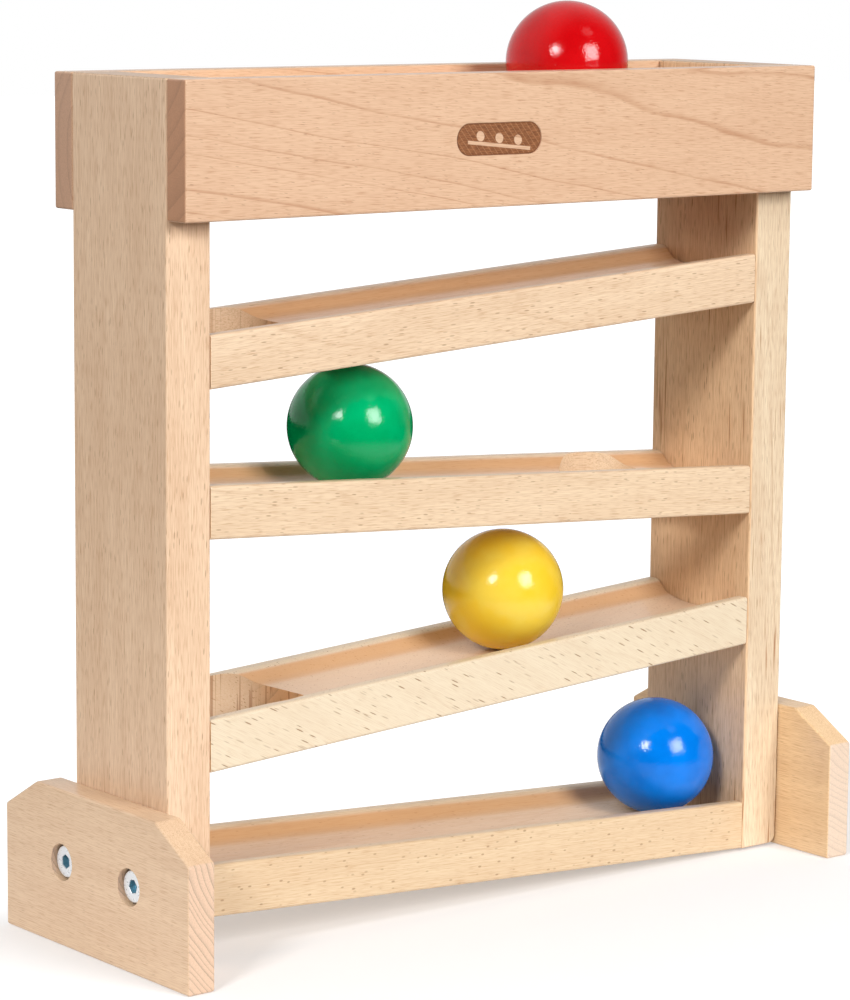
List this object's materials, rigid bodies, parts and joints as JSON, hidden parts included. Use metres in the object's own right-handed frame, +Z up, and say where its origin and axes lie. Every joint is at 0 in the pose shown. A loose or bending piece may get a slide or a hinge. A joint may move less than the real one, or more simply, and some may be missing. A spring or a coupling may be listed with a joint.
{
  "type": "marble run",
  "caption": "Wooden ball run: stacked sloping channelled tracks between two uprights on chamfered feet, with a railed start track, drop holes and coloured balls.",
  "frame": {"origin": "centre of the whole object's outline, at the level of the undersides of the feet", "axes": "+Z up, +X along the tracks towards the right upright, +Y towards the rear rail"},
  "size_m": [0.3446, 0.125, 0.3624],
  "materials": {
    "beech": "satin lacquer",
    "zinc_plate": "bright zinc",
    "brass": "turned",
    "red_paint": "gloss paint on wood",
    "green_paint": "gloss paint on wood",
    "yellow_paint": "gloss paint on wood",
    "blue_paint": "gloss paint on wood"
  },
  "bodies": {
    "frame": {"finish_track": "beech", "finish_track_left_front_dowel": "beech", "finish_track_left_rear_dowel": "beech", "finish_track_right_front_dowel": "beech", "finish_track_right_rear_dowel": "beech", "first_track": "beech", "first_track_left_front_dowel": "beech", "first_track_left_rear_dowel": "beech", "first_track_right_front_dowel": "beech", "first_track_right_rear_dowel": "beech", "front_rail": "beech", "front_rail_left_lower_dowel": "beech", "front_rail_left_upper_dowel": "beech", "front_rail_right_lower_dowel": "beech", "front_rail_right_upper_dowel": "beech", "left_foot": "beech", "left_front_foot_screw": "zinc_plate", "left_front_threaded_insert": "brass", "left_rear_foot_screw": "zinc_plate", "left_rear_threaded_insert": "brass", "left_upright": "beech", "rear_rail": "beech", "rear_rail_left_lower_dowel": "beech", "rear_rail_left_upper_dowel": "beech", "rear_rail_right_lower_dowel": "beech", "rear_rail_right_upper_dowel": "beech", "right_foot": "beech", "right_front_foot_screw": "zinc_plate", "right_front_threaded_insert": "brass", "right_rear_foot_screw": "zinc_plate", "right_rear_threaded_insert": "brass", "right_upright": "beech", "second_track": "beech", "second_track_left_front_dowel": "beech", "second_track_left_rear_dowel": "beech", "second_track_right_front_dowel": "beech", "second_track_right_rear_dowel": "beech", "start_track": "beech", "start_track_left_front_dowel": "beech", "start_track_left_rear_dowel": "beech", "start_track_right_front_dowel": "beech", "start_track_right_rear_dowel": "beech", "third_track": "beech", "third_track_left_front_dowel": "beech", "third_track_left_rear_dowel": "beech", "third_track_right_front_dowel": "beech", "third_track_right_rear_dowel": "beech"},
    "red_ball": {"red_ball": "red_paint"},
    "green_ball": {"green_ball": "green_paint"},
    "yellow_ball": {"yellow_ball": "yellow_paint"},
    "blue_ball": {"blue_ball": "blue_paint"}
  },
  "joints": [
    {"name": "red_ball_roll", "type": "slide", "parent": "frame", "child": "red_ball", "axis": [0.9982, 0, -0.0592], "range_m": [-0.1753, 0.0087]},
    {"name": "green_ball_roll", "type": "slide", "parent": "frame", "child": "green_ball", "axis": [0.9982, 0, -0.0592], "range_m": [-0.0496, 0.1187]},
    {"name": "yellow_ball_roll", "type": "slide", "parent": "frame", "child": "yellow_ball", "axis": [-0.9982, 0, -0.0592], "range_m": [-0.0654, 0.1029]},
    {"name": "blue_ball_roll", "type": "slide", "parent": "frame", "child": "blue_ball", "axis": [0.9982, 0, -0.0592], "range_m": [-0.2151, 0]}
  ]
}
